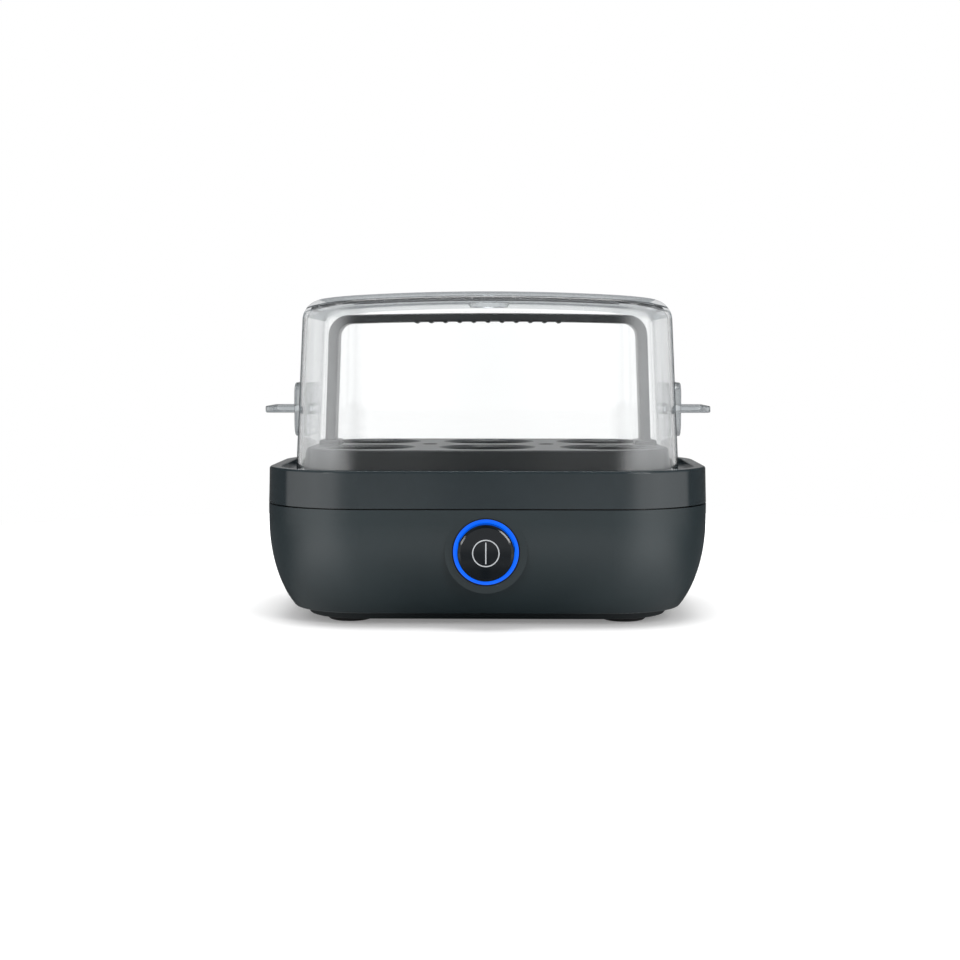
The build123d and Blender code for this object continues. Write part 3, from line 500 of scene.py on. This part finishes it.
class COOKER_OT_button(bpy.types.Operator):
    """Finishes the push button, its sign and the light ring"""

    bl_idname = "cooker.button"
    bl_label = "Button"

    def execute(self, context):
        finish = settings_of("cooker_finish")
        cap = coated("glossy_black", gloss_plastic, finish.cap_colour, 0.07, mirror=0.24)
        ink = coated("grey_inlay", moulded_plastic, (0.52, 0.54, 0.56), 0.4)
        lit = coated("lit_guide", self.glow, finish.glow_colour)
        # The guide's outer lip is near black and unlit: painted shade for the gap round the ring.
        sleeve_and_gap_shade = coated("guide_gap_shade", moulded_plastic, (0.004, 0.004, 0.005), 0.6)
        low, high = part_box("light_ring")
        self.middle = Vector((0.0, low.y, (low.z + high.z) / 2))
        self.cap(cap)
        self.ring(lit, sleeve_and_gap_shade)
        self.sign(ink)
        return {"FINISHED"}

    def cap(self, material):
        """The cap: a dished face with a flat chamfer round it, a skirt and the stem behind."""
        low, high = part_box("power_button")
        radius, length = high.x / MM, (high.y - low.y) / MM
        ball, rim, depth = DISH_RADIUS, 10.45, 0.5
        steps = [rim * step / 8 for step in range(9)]
        profile = [(reach, depth - ball + sqrt(ball**2 - reach**2)) for reach in steps]
        profile += [(11.1, 0.3), (11.4, 0.54), (radius, 1.0), (radius, 11.6), (11.45, 11.8), (10.0, 11.8),
                    (9.85, 11.65), (9.85, 2.3), (2.6, 2.3), (2.6, length - 0.1), (2.5, length), (0.0, length)]
        bm = bmesh.new()
        lathe(bm, in_metres(profile), (0.0, low.y, self.middle.z), BACKWARD, steps=96)
        cap = keep(bm, "push_cap", material, "button", crease=12.0)
        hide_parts("power_button")

    def ring(self, material, sleeve_and_gap_shade):
        """The light guide: its lit front, and outside that a dark unlit material as painted shade for the gap round
        the ring.
        """
        lit_reach = 13.52
        profile = ((11.95, 0.3), (12.03, 0.08), (12.25, 0.0), (13.3, 0.0), (13.46, 0.06), (lit_reach, 0.3),
                   (13.6, 0.3), (13.8, 0.32), (13.85, 0.4), (13.85, 3.5), (15.5, 3.5), (15.5, 5.5), (13.85, 5.5),
                   (13.85, 16.9), (11.95, 16.9), (11.95, 0.3))
        bm = bmesh.new()
        lathe(bm, in_metres(profile), self.middle, BACKWARD, steps=96)
        # Faces outside the lit reach take the dark material: painted shade for the gap round the ring.
        for face in bm.faces:
            from_axis = (face.calc_center_median() - self.middle) * Vector((1, 0, 1))
            face.material_index = int(from_axis.length > lit_reach * MM)
        ring = keep(bm, "lit_ring", material, "base", crease=50.0)
        ring.data.materials.append(sleeve_and_gap_shade)
        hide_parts("light_ring")

    def sign(self, material):
        """The ring and bar inlaid in the cap's dished face."""
        low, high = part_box("button_symbol")
        back = high.y
        dish = DISH_RADIUS * MM
        centre = low.y + (dish - sqrt(dish**2 - high.x**2)) - dish

        def front(radius):
            return centre + sqrt(dish**2 - radius**2)

        outer, line, bar = 5.62 * MM, 0.46 * MM, 4.42 * MM
        edge = 0.05 * MM
        profile = [(outer - line, back), (outer - line, front(outer) + edge), (outer - line + edge, front(outer)),
                   (outer - edge, front(outer)), (outer, front(outer) + edge), (outer, back), (outer - line, back)]
        bm = bmesh.new()
        lathe(bm, profile, (0.0, 0.0, self.middle.z), BACKWARD, steps=96)
        # The bar is a cube of a metre, cut across and then brought down to size, so that it follows the dish.
        bmesh.ops.create_cube(bm, size=1.0)
        uprights = [edge for edge in bm.edges if abs(edge.verts[0].co.z - edge.verts[1].co.z) > 0.5]
        bmesh.ops.subdivide_edges(bm, edges=uprights, cuts=9, use_grid_fill=True)
        for vert in [vert for vert in bm.verts if abs(vert.co.y) > 0.4]:
            x, z = vert.co.x * line, vert.co.z * 2 * bar
            vert.co = (x, back if vert.co.y > 0 else front(abs(z)), self.middle.z + z)
        sign = keep(bm, "cap_sign", material, "button")
        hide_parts("button_symbol")

    def glow(self, tree, colour):
        """A translucent guide that shines, a little brighter in soft random patches."""
        place = tree.place()
        cloud = tree.noise(place, 160.0, 2.0)
        light = tree.mix(cloud.step(0.3, 0.7), shade(colour, 0.85), colour)
        values = {"Base Color": (*shade(colour, 0.2), 1.0), "Roughness": 0.3 + cloud * 0.1,
                  "Specular IOR Level": 0.2, "Emission Color": light, "Emission Strength": 1.0}
        return principled(tree, values)


class COOKER_OT_heater(bpy.types.Operator):
    """Finishes the dish and what heats it"""

    bl_idname = "cooker.heater"
    bl_label = "Dish and heater"

    def execute(self, context):
        dish = coated("dish_steel", metal, (0.55, 0.56, 0.57), 0.28, stretch=(1.0, 12.0, 1.0))
        plain = coated("zinc_steel", metal, (0.48, 0.49, 0.52), 0.35)
        dark = coated("annealed_tube", metal, (0.22, 0.2, 0.19), 0.45)
        sheet = coated("rolled_aluminium", metal, (0.78, 0.79, 0.8), 0.35, stretch=(0.2, 6.0, 1.0))
        ceramic = coated("steatite", moulded_plastic, (0.72, 0.69, 0.62), 0.55, grain=0.6 * MM)
        phenolic = coated("phenolic", moulded_plastic, (0.02, 0.016, 0.014), 0.4)
        dress(["heating_dish"], dish)
        dress(["element_clamp", "clamp_screws", "base_screws", "board_screws", "handle_screws"], plain)
        dress(["heating_element"], dark)
        dress(["heat_spreader"], sheet)
        dress(["element_terminals", "thermal_fuse"], ceramic)
        dress(["thermostat"], phenolic)
        return {"FINISHED"}


class COOKER_OT_electrics(bpy.types.Operator):
    """Finishes the board, its parts and the leads"""

    bl_idname = "cooker.electrics"
    bl_label = "Electrics"

    def execute(self, context):
        laminate = coated("green_laminate", self.laminate)
        black = coated("switch_plastic", moulded_plastic, (0.01, 0.01, 0.01), 0.4)
        red = coated("plunger_plastic", moulded_plastic, (0.5, 0.04, 0.02), 0.4)
        resin = coated("lamp_resin", gloss_plastic, (0.3, 0.5, 0.9), 0.1)
        cream = coated("block_plastic", moulded_plastic, (0.66, 0.64, 0.58), 0.45)
        sleeve_and_gap_shade = coated("wire_sleeve", rubber, (0.42, 0.03, 0.015), 0.45)
        dress(["control_board"], laminate)
        dress(["push_switch", "buzzer", "power_relay"], black)
        dress(["switch_plunger"], red)
        dress(["ring_lamps"], resin)
        dress(["terminal_block"], cream)
        dress(["lead_wires"], sleeve_and_gap_shade)
        return {"FINISHED"}

    def laminate(self, tree):
        """Green solder mask over copper tracks."""
        place = tree.place()
        brick = tree.add("ShaderNodeTexVoronoi", {"distance": "CHEBYCHEV"}, {"Vector": place, "Scale": 190.0})
        track = brick.step(0.42, 0.46)
        grain = tree.noise(place, 1500.0, 2.0)
        tone = tree.mix(track, (0.01, 0.13, 0.05), (0.03, 0.26, 0.09))
        values = {"Base Color": tone, "Roughness": 0.3 + grain * 0.1, "Normal": tree.bump(track, 0.03 * MM)}
        return principled(tree, values)


class COOKER_OT_spring(bpy.types.Operator):
    """Makes the coil spring behind the cap at its full length, on a mesh of its own; the real spring shortens as the
    button is pressed
    """

    bl_idname = "cooker.spring"
    bl_label = "Button spring"

    def execute(self, context):
        material = coated("spring_wire", metal, (0.6, 0.61, 0.62), 0.22)
        low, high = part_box("button_spring")
        wire, coils, steps, travel = 0.5 * MM, 6, 24, 2.0 * MM
        length, radius = high.y - low.y, (high.x - low.x - wire) / 2
        middle = Vector((0.0, low.y + wire / 2, (low.z + high.z) / 2))
        bm = bmesh.new()
        ring = bmesh.ops.create_circle(bm, segments=10, radius=wire / 2)["verts"]
        bmesh.ops.translate(bm, verts=ring, vec=middle + Vector((radius, 0.0, 0.0)))
        bmesh.ops.spin(
            bm, geom=ring + bm.edges[:], cent=middle, axis=BACKWARD, angle=2 * pi * coils, steps=coils * steps,
            dvec=(0, (length - wire) / (coils * steps), 0),
        )
        bmesh.ops.holes_fill(bm, edges=[edge for edge in bm.edges if edge.is_boundary])
        spring = keep(bm, "return_spring", material, "base", crease=60.0)
        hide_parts("button_spring")
        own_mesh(spring)
        return {"FINISHED"}


class COOKER_OT_tray(bpy.types.Operator):
    """Finishes the egg tray and its handle"""

    bl_idname = "cooker.tray"
    bl_label = "Tray"

    def execute(self, context):
        finish = settings_of("cooker_finish")
        tray = coated("tray_plastic", moulded_plastic, finish.tray_colour, 0.4)
        dress(["egg_tray", "carrying_handle"], tray)
        return {"FINISHED"}


# Places of the shell's materials, of which the walls have the first
ROOF, EDGE, FOLD, VENT, SIDE, REAR = range(1, 7)

# How deep under the roof its front edge shows a painted dark line, in thicknesses of the wall
FOLD_BANDS = ((1.55, 1.85), (1.95, 2.15))


class COOKER_OT_lid(bpy.types.Operator):
    """Makes the clear lid with its steam vent, and finishes its grips"""

    bl_idname = "cooker.lid"
    bl_label = "Lid"

    def execute(self, context):
        self.low, self.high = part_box("lid_shell")
        self.shape = settings_of("cooker_lid")
        finish = settings_of("cooker_finish")
        # The grey film is painted shade: mixed in by steep where the walls, roof and sides are seen edge on, and
        # evenly over the rear edge and the vent.
        grey_film = finish.lid_edge_painted_shade
        # The walls' corners also take a painted highlight.
        walls = coated("clear_plastic", self.clear, grey_film, steep=1.9, haze=0.16)
        roof = coated("clear_plastic_roof", self.clear, grey_film, steep=0.9)
        side = coated("clear_plastic_side", self.clear, grey_film, steep=0.42)
        # The roof's front edge takes a pale painted shade.
        edge = coated("clear_plastic_edge", self.clear, finish.lid_band_painted_shade, even=0.85)
        # A band under the roof's front edge takes a dark painted line.
        fold = coated("clear_plastic_fold", self.clear, finish.lid_fold_painted_shade, steep=0.2, even=0.72)
        rear = coated("clear_plastic_rear", self.clear, grey_film, even=0.6)
        vent = coated("clear_plastic_vent", self.clear, grey_film, even=1.0)
        thick = coated("clear_plastic_thick", self.clear, grey_film, steep=0.5, even=0.12, grip=True)
        outer, inner = self.wall(0.0), self.wall(self.shape.wall)
        lift = 0.15 * self.shape.wall
        outer[0] = [Vector((point.x, point.y, point.z + lift)) for point in outer[0]]
        bm = bmesh.new()
        loft(bm, self.lip((0.5, 0.2, 0.06)) + outer + self.roof(outer[-1]) + inner[::-1] + self.lip((0.94, 0.8)))
        self.cut_slots(bm)
        self.sort_faces(bm)
        shell = keep(bm, "clear_lid", walls, "lid")
        for material in (roof, edge, fold, vent, side, rear):
            shell.data.materials.append(material)
        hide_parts("lid_shell")
        dress(["left_lid_grip", "right_lid_grip"], thick)
        return {"FINISHED"}

    def crown(self, x, inset):
        """Height of the roof, which is part of a wide cylinder along Y."""
        radius = self.shape.crown_radius - inset
        return self.high.z - inset - radius + sqrt(radius**2 - x**2)

    def plan(self, inset):
        half_x = self.high.x - inset
        half_y = self.high.y - inset
        return round_outline(half_x, half_y, self.shape.corner_radius - inset, 22, (14, 10))

    def wall(self, inset):
        """Rings up the wall and round the roof's edge, which is rounder at the sides than at the front."""
        shape = self.shape
        draft = shape.draft
        corner = shape.corner_radius - inset
        wall_steps = [0.0, 0.02, 0.3, 0.6, 0.85, 1.0]
        arc_steps = 12
        rings = [[] for _ in range(len(wall_steps) + arc_steps)]
        for core, way in self.plan(inset):
            radius = shape.edge_front + (shape.edge_side - shape.edge_front) * way.x**2 - inset
            # The arched roof lies lower at the sides, so the rounding's middle is found in a few rounds.
            middle = radius
            for _ in range(3):
                x = core.x + way.x * (corner - middle)
                top = self.crown(x, inset) - radius
                middle = (top - self.low.z) * tan(draft) + radius / cos(draft)
            slope = asin(x / shape.crown_radius) * way.x
            start = top + radius * sin(draft)
            for ring, share in enumerate(wall_steps):
                height = self.low.z + share * (start - self.low.z)
                place = core + way * (corner - (height - self.low.z) * tan(draft))
                rings[ring].append(Vector((*place, height)))
            for step in range(1, arc_steps + 1):
                turn = draft + (pi / 2 - slope - draft) * step / arc_steps
                place = core + way * (corner - middle + radius * cos(turn))
                rings[len(wall_steps) - 1 + step].append(Vector((*place, top + radius * sin(turn))))
        return rings[:-1]

    def lip(self, shares):
        """Rings along the lower edge, each at its share of the wall's thickness."""
        rings = []
        for share in shares:
            reach = self.shape.corner_radius - share * self.shape.wall
            rings.append([Vector((*(core + way * reach), self.low.z)) for core, way in self.plan(0.0)])
        return rings

    def roof(self, edge):
        """Rings over the roof to the vent, down through it and back out underneath."""
        shape = self.shape
        vent = Vector((0.0, shape.vent_setback, 0.0))
        ways = [(Vector((point.x, point.y, 0.0)) - vent).normalized() for point in edge]
        radius = shape.vent_radius
        top_rim, under_rim, inner_margin = 2.8 * MM, 3.8 * MM, 13.0 * MM
        rim = [vent + way * (radius + top_rim) for way in ways]
        shares = (0.06, 0.2, 0.4, 0.6, 0.8, 0.94, 1.0)
        rings = []
        for share in shares:
            flat = [start.lerp(end, share) for start, end in zip(edge, rim)]
            rings.append([Vector((point.x, point.y, self.crown(point.x, 0.0))) for point in flat])
        profile = ((2.4, 0.05), (1.9, 0.35), (0.5, 1.3), (0.12, 1.62), (0.0, 1.95), (0.0, 3.5), (0.12, 3.72),
                   (0.3, 3.8), (2.1, 3.8), (2.35, 3.74), (2.5, 3.55), (3.4, 2.1), (3.8, 1.8))
        for out, down in profile:
            rings.append([vent + way * (radius + out * MM) + Vector((0, 0, self.high.z - down * MM)) for way in ways])
        inner_radius = shape.corner_radius - shape.wall
        inside = [core + way * (inner_radius - inner_margin) for core, way in self.plan(shape.wall)]
        rim = [vent + way * (radius + under_rim) for way in ways]
        for share in reversed(shares[:-1]):
            flat = [Vector((*start, 0.0)).lerp(end, share) for start, end in zip(inside, rim)]
            rings.append([Vector((point.x, point.y, self.crown(point.x, shape.wall))) for point in flat])
        return rings

    def cut_slots(self, bm):
        """The slots in the side walls that the grips' roots pass through."""
        shape = self.shape
        breadth, height, gap = shape.slot_half_breadth, shape.slot_height, shape.slot_gap / 2
        planes = [((0, side * breadth, 0), (0, 1, 0)) for side in (-1, 1)]
        planes += [((0, 0, height + side * gap), (0, 0, 1)) for side in (-1, 1)]
        for place, way in planes:
            bmesh.ops.bisect_plane(bm, geom=bm.verts[:] + bm.edges[:] + bm.faces[:], plane_co=place, plane_no=way)
        for side in (-1, 1):
            window = []
            for face in bm.faces:
                middle = face.calc_center_median()
                if side * middle.x > 0.8 * self.high.x and abs(middle.y) < breadth and abs(middle.z - height) < gap:
                    window.append(face)
            bmesh.ops.delete(bm, geom=window, context="FACES")
            bmesh.ops.bridge_loops(bm, edges=[edge for edge in bm.edges if edge.is_boundary])

    def sort_faces(self, bm):
        """Gives the roof, the sides, the vent, and the roof's front and rear edges materials of their own, each with
        its own painted shade.
        """
        wall = self.shape.wall
        folds = [(start * wall, end * wall) for start, end in FOLD_BANDS]
        for face in bm.faces:
            middle = face.calc_center_median()
            depth = self.crown(middle.x, 0.0) - middle.z
            to_vent = Vector((middle.x, middle.y - self.shape.vent_setback)).length
            front = middle.y < 0
            folded = front and any(start < depth < end for start, end in folds)
            if to_vent < self.shape.vent_radius + 0.6 * MM:
                face.material_index = VENT
            elif folded and 0.1 < abs(face.normal.z) < 0.9:
                face.material_index = FOLD
            elif 0.3 < face.normal.z < 0.985 and depth < 2.6 * wall and self.outward(face):
                face.material_index = EDGE if front else REAR
            elif abs(face.normal.z) > 0.96 and depth < 3 * wall:
                face.material_index = ROOF
            elif abs(face.normal.x) > 0.98:
                face.material_index = SIDE

    def outward(self, face):
        middle = face.calc_center_median()
        return face.normal.x * middle.x + face.normal.y * middle.y > 0

    def clear(self, tree, grey_film, steep=0.0, even=0.0, haze=0.0, grip=False):
        """Clear plastic with a grey film mixed in as painted shade: all over by even, and by steep where it is seen
        along its wall; the corners can also take a painted highlight.
        """
        finish = settings_of("cooker_finish")
        place = tree.place()
        smudge = tree.noise(place, 40.0, 4.0, 0.6)
        values = {"Base Color": (*finish.lid_tint, 1.0), "Roughness": smudge.step(0.55, 0.85) * 0.02,
                  "IOR": 1.49, "Transmission Weight": 1.0}
        glass = principled(tree, values)
        facing = tree.add("ShaderNodeLayerWeight", None, {"Blend": 0.5}, "Facing")
        # How much of the grey film is mixed in: painted shade, by steep at grazing angles and by even all over.
        depth = facing**4.5 * steep + even
        if grip:
            # A grip is a thin plate, so it is greyer where light runs along it, from its front edge to its rear.
            along = abs(tree.parts(tree.add("ShaderNodeNewGeometry", output="Normal"))[1])
            outside = abs(tree.parts(place)[0]).step(self.high.x - 1.0 * MM, self.high.x + 2.0 * MM)
            depth = depth + along * (0.25 + outside * 0.4)
        film = tree.add("ShaderNodeBsdfTransparent", None, {"Color": (*grey_film, 1.0)})
        body = tree.add("ShaderNodeMixShader", None, {0: depth, 1: glass, 2: film})
        if haze:
            # Painted highlight: the corners, where the mould bends the wall, get a pale diffuse veil that stands in
            # for the sheen they show.
            bend = abs(tree.parts(tree.add("ShaderNodeNewGeometry", output="Normal"))[0])
            corner_highlight = bend.step(0.2, 0.5) * (1.0 - bend.step(0.8, 0.97)) * haze
            veil = tree.add("ShaderNodeBsdfDiffuse", None, {"Color": (0.86, 0.88, 0.89, 1.0)})
            body = tree.add("ShaderNodeMixShader", None, {0: corner_highlight, 1: body, 2: veil})
        through = tree.add("ShaderNodeBsdfTransparent", None, {"Color": (0.94, 0.945, 0.95, 1.0)})
        path = tree.add("ShaderNodeLightPath", output="Is Shadow Ray")
        return tree.add("ShaderNodeMixShader", None, {0: path, 1: body, 2: through})


# How bright the panels round the cooker are, by the way round from its front, 0, to its back, 1
PANEL_LEVELS = ((0.0, 0.16), (0.006, 0.2), (0.013, 0.4), (0.07, 0.39), (0.13, 0.48), (0.2, 0.84), (0.32, 0.95),
                (0.46, 0.72), (0.56, 0.48), (0.59, 0.03), (0.9, 0.04), (1.0, 0.2))


def way_round(x, y):
    """How far round from the front a place or a ray is: 0 in front, 0.5 beside the cooker and 1 behind."""
    return x.math_node("ARCTAN2", abs(x), 0.0 - y) / pi


class COOKER_OT_studio(bpy.types.Operator):
    """Sets up the table, the lamps and the camera"""

    bl_idname = "cooker.studio"
    bl_label = "Studio"

    def execute(self, context):
        self.table()
        self.surroundings()
        button = (0.0, -0.07, 0.032)
        top = self.lamp("top_softbox", place=(0.0, -0.05, 0.95), aim=(0.0, 0.0, 0.05), size=(0.8, 0.6), power=7.0)
        top.visible_glossy = False
        left = self.lamp("left_strip", place=(-0.585, -0.64, 0.27), aim=button, size=(0.03, 0.27), power=0.42,
                         roll=-0.5)
        right = self.lamp("right_strip", place=(0.49, -0.66, 0.405), aim=button, size=(0.05, 0.56), power=1.7,
                          roll=0.54)
        self.pass_by(bpy.data.objects["clear_lid"], left, right)
        self.camera()
        context.scene.view_settings.view_transform = "Standard"
        return {"FINISHED"}

    def table(self):
        """A white table: it shines white to the camera where it is lit, and keeps the cooker's shadow."""
        bm = bmesh.new()
        bmesh.ops.create_circle(bm, cap_ends=True, segments=96, radius=0.5)
        mesh = bpy.data.meshes.new("table")
        bm.to_mesh(mesh)
        bm.free()
        table = bpy.data.objects.new("table", mesh)
        bpy.context.scene.collection.objects.link(table)
        mesh.materials.append(coated("white_table", self.white))

    def white(self, tree):
        """White where it is seen straight or through clear plastic, dimmer in reflections, lit and shaded near by."""
        white, grey = (0.8, 0.8, 0.8), (0.1, 0.105, 0.11)
        camera, shiny, through, folded = tree.ray_kinds()
        place = tree.place()
        x, y, _ = tree.parts(place)
        reach = tree.add("ShaderNodeVectorMath", {"operation": "LENGTH"}, {0: place}, "Value")
        turn = way_round(x, y)
        beside = turn.step(0.12, 0.24) * (1.0 - turn.step(0.3, 0.46))
        front = (1.0 - turn.step(0.25, 0.5)) * (1.0 - reach.step(0.28, 0.35) * 0.6)
        glow = (camera + through) * (0.22 + reach.step(0.2, 0.45) * 0.78) + through * 0.12
        glow = glow + (shiny + folded) * reach.step(0.04, 0.22) * (front * 1.05 + beside * 1.2)
        glow = glow + folded * turn.step(0.35, 0.5) * 0.9
        tone = tree.mix(shiny + folded, white, grey)
        diffuse = tree.add("ShaderNodeBsdfDiffuse", None, {"Color": tone})
        shine = tree.add("ShaderNodeEmission", None, {"Color": (1.0, 1.0, 1.0, 1.0), "Strength": glow})
        return tree.add("ShaderNodeAddShader", None, {0: diffuse, 1: shine})

    def surroundings(self):
        """A white backdrop, and for reflections a tall soft panel on each side with a dark gap in front."""
        world = bpy.data.worlds.new("studio")
        bpy.context.scene.world = world
        tree = Tree(world)
        x, y, z = tree.parts(tree.add("ShaderNodeTexCoord", output="Generated"))
        camera, shiny, through, folded = tree.ray_kinds()
        turn = way_round(x + 0.012, y)
        settings = {"stops": [(place, (level, level, level)) for place, level in PANEL_LEVELS]}
        panel = tree.add("ShaderNodeValToRGB", settings, {"Fac": turn}) * (z.step(-0.45, -0.2) * 2.0)
        card = z.step(-0.06, 0.02) * (1.0 - turn.step(0.06, 0.18))
        panel = panel * (1.0 - z.step(0.03, 0.3) * 0.7) * (1.0 - card * 0.6)
        behind = turn.step(0.38, 0.5)
        ambient = 0.62 + z * 0.22
        seen_through = 1.15 - z.step(0.3, 0.6) * 0.6
        strength = ambient + (shiny + folded) * (panel - ambient) + through * (seen_through - ambient)
        strength = strength + folded * behind * (1.05 - panel)
        strength = strength + camera * (1.0 - ambient)
        shine = tree.add("ShaderNodeBackground", None, {"Color": (1.0, 1.0, 1.0, 1.0), "Strength": strength})
        tree.finish(shine, "ShaderNodeOutputWorld")

    def lamp(self, name, place, aim, size, power, roll=0.0):
        data = bpy.data.lights.new(name, "AREA")
        data.shape = "ELLIPSE"
        data.size, data.size_y = size
        data.energy = power
        lamp = bpy.data.objects.new(name, data)
        lamp.location = place
        turn = (Vector(aim) - Vector(place)).to_track_quat("-Z", "Y")
        lamp.rotation_euler = (turn @ Quaternion((0, 0, 1), roll)).to_euler()
        lamp.visible_camera = False
        bpy.context.scene.collection.objects.link(lamp)
        return lamp

    def pass_by(self, piece, *lamps):
        """Keeps the lamps' mirror images off a clear piece."""
        passed = bpy.data.collections.new("passed_by")
        passed.objects.link(piece)
        passed.collection_objects[0].light_linking.link_state = "EXCLUDE"
        for lamp in lamps:
            lamp.light_linking.receiver_collection = passed

    def camera(self):
        studio = settings_of("cooker_studio")
        data = bpy.data.cameras.new("camera")
        data.sensor_width = 36.0
        data.lens = studio.focal_length
        data.clip_start = 0.01
        camera = bpy.data.objects.new("camera", data)
        camera.location = (studio.camera_side, -studio.camera_distance, studio.camera_height)
        camera.rotation_euler = (pi / 2 - studio.camera_pitch, 0.0, studio.camera_heading)
        bpy.context.scene.collection.objects.link(camera)
        bpy.context.scene.camera = camera


PIECES = (
    COOKER_OT_casing,
    COOKER_OT_feet,
    COOKER_OT_button,
    COOKER_OT_heater,
    COOKER_OT_electrics,
    COOKER_OT_spring,
    COOKER_OT_tray,
    COOKER_OT_lid,
    COOKER_OT_studio,
)


class COOKER_PT_panel(bpy.types.Panel):
    """Lists the cooker's settings and steps"""

    bl_label = "Egg Cooker"
    bl_space_type = "VIEW_3D"
    bl_region_type = "UI"
    bl_category = "Egg Cooker"

    def draw(self, context):
        for group in [getattr(context.scene, name) for name in GROUPS]:
            box = self.layout.box()
            for name in group.__annotations__:
                box.prop(group, name)
        for piece in PIECES:
            self.layout.operator(piece.bl_idname)


GROUPS = {"cooker_finish": FinishSettings, "cooker_lid": LidSettings, "cooker_studio": StudioSettings}
CLASSES = (*GROUPS.values(), *PIECES, COOKER_PT_panel)


def register():
    for made in CLASSES:
        bpy.utils.register_class(made)
    for name, group in GROUPS.items():
        setattr(bpy.types.Scene, name, bpy.props.PointerProperty(type=group))


def unregister():
    for name in GROUPS:
        delattr(bpy.types.Scene, name)
    for made in reversed(CLASSES):
        bpy.utils.unregister_class(made)


def main():
    register()
    for piece in PIECES:
        family, name = piece.bl_idname.split(".")
        getattr(getattr(bpy.ops, family), name)()


if __name__ == "__main__":
    main()
